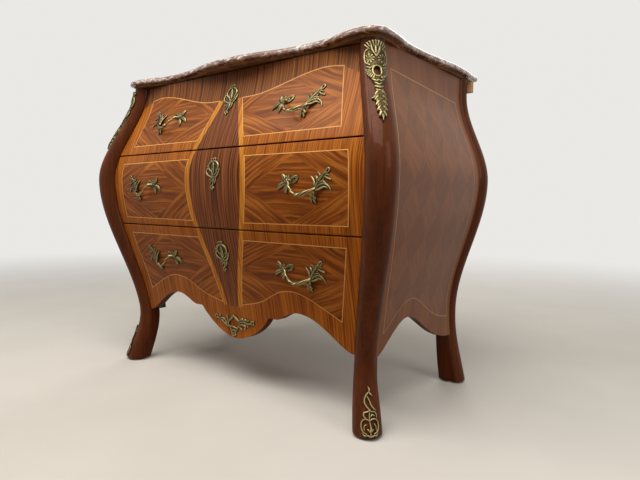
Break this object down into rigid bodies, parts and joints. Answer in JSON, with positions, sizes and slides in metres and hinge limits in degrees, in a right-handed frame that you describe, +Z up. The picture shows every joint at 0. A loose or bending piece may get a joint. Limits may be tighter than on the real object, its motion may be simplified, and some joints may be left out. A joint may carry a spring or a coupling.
{
  "type": "commode chest",
  "caption": "Low swelling commode chest with sliding drawers, cabriole corner posts, a shaped apron, cast mounts and a serpentine stone top.",
  "frame": {"origin": "on the floor under the middle of the chest", "axes": "+X to the right along the width as seen from the front, +Y from the front to the back, +Z up"},
  "size_m": [1.0114, 0.587, 0.8403],
  "materials": {
    "mahogany": "polished dark red-brown wood",
    "front_veneer": "polished figured veneer with light strings",
    "side_veneer": "polished parquetry veneer",
    "softwood": "planed unfinished softwood",
    "plywood": "thin unfinished board",
    "marble": "polished mottled red-brown marble",
    "brass": "aged cast brass",
    "lock_steel": "dull steel",
    "glide_plastic": "pale plastic"
  },
  "bodies": {
    "carcass": {"marble_top": "marble", "post_front_left": "mahogany", "post_front_right": "mahogany", "post_back_left": "mahogany", "post_back_right": "mahogany", "side_panel_left": "side_veneer", "side_panel_right": "side_veneer", "back_panel": "plywood", "bottom_board": "softwood", "top_rail_front": "softwood", "top_rail_back": "softwood", "drawer_rail_upper": "softwood", "drawer_rail_lower": "softwood", "runner_upper_left": "softwood", "runner_upper_right": "softwood", "runner_middle_left": "softwood", "runner_middle_right": "softwood", "runner_lower_left": "softwood", "runner_lower_right": "softwood", "corner_mount_left": "brass", "corner_mount_right": "brass", "foot_mount_left": "brass", "foot_mount_right": "brass", "wall_spacer_left": "softwood", "wall_spacer_right": "softwood", "glide_front_left": "glide_plastic", "glide_front_right": "glide_plastic", "glide_back_left": "glide_plastic", "glide_back_right": "glide_plastic"},
    "upper_drawer": {"drawer_front_upper": "front_veneer", "drawer_back_upper": "softwood", "drawer_bottom_upper": "plywood", "drawer_side_upper_left": "softwood", "drawer_side_upper_right": "softwood", "handle_upper_left": "brass", "handle_upper_right": "brass", "escutcheon_upper": "brass", "lock_case_upper": "lock_steel"},
    "middle_drawer": {"drawer_front_middle": "front_veneer", "drawer_back_middle": "softwood", "drawer_bottom_middle": "plywood", "drawer_side_middle_left": "softwood", "drawer_side_middle_right": "softwood", "handle_middle_left": "brass", "handle_middle_right": "brass", "escutcheon_middle": "brass", "lock_case_middle": "lock_steel"},
    "lower_drawer": {"drawer_front_lower": "front_veneer", "drawer_back_lower": "softwood", "drawer_bottom_lower": "plywood", "drawer_side_lower_left": "softwood", "drawer_side_lower_right": "softwood", "handle_lower_left": "brass", "handle_lower_right": "brass", "escutcheon_lower": "brass", "lock_case_lower": "lock_steel", "apron_mount": "brass"},
    "upper_bolt": {"lock_bolt_upper": "lock_steel"},
    "middle_bolt": {"lock_bolt_middle": "lock_steel"},
    "lower_bolt": {"lock_bolt_lower": "lock_steel"}
  },
  "joints": [
    {"name": "upper_drawer_slide", "type": "slide", "parent": "carcass", "child": "upper_drawer", "axis": [0, -1, 0], "range_m": [0, 0.3]},
    {"name": "middle_drawer_slide", "type": "slide", "parent": "carcass", "child": "middle_drawer", "axis": [0, -1, 0], "range_m": [0, 0.3]},
    {"name": "lower_drawer_slide", "type": "slide", "parent": "carcass", "child": "lower_drawer", "axis": [0, -1, 0], "range_m": [0, 0.3]},
    {"name": "upper_bolt_slide", "type": "slide", "parent": "upper_drawer", "child": "upper_bolt", "axis": [0, 0, 1], "range_m": [0, 0.008]},
    {"name": "middle_bolt_slide", "type": "slide", "parent": "middle_drawer", "child": "middle_bolt", "axis": [0, 0, 1], "range_m": [0, 0.008]},
    {"name": "lower_bolt_slide", "type": "slide", "parent": "lower_drawer", "child": "lower_bolt", "axis": [0, 0, 1], "range_m": [0, 0.008]}
  ]
}
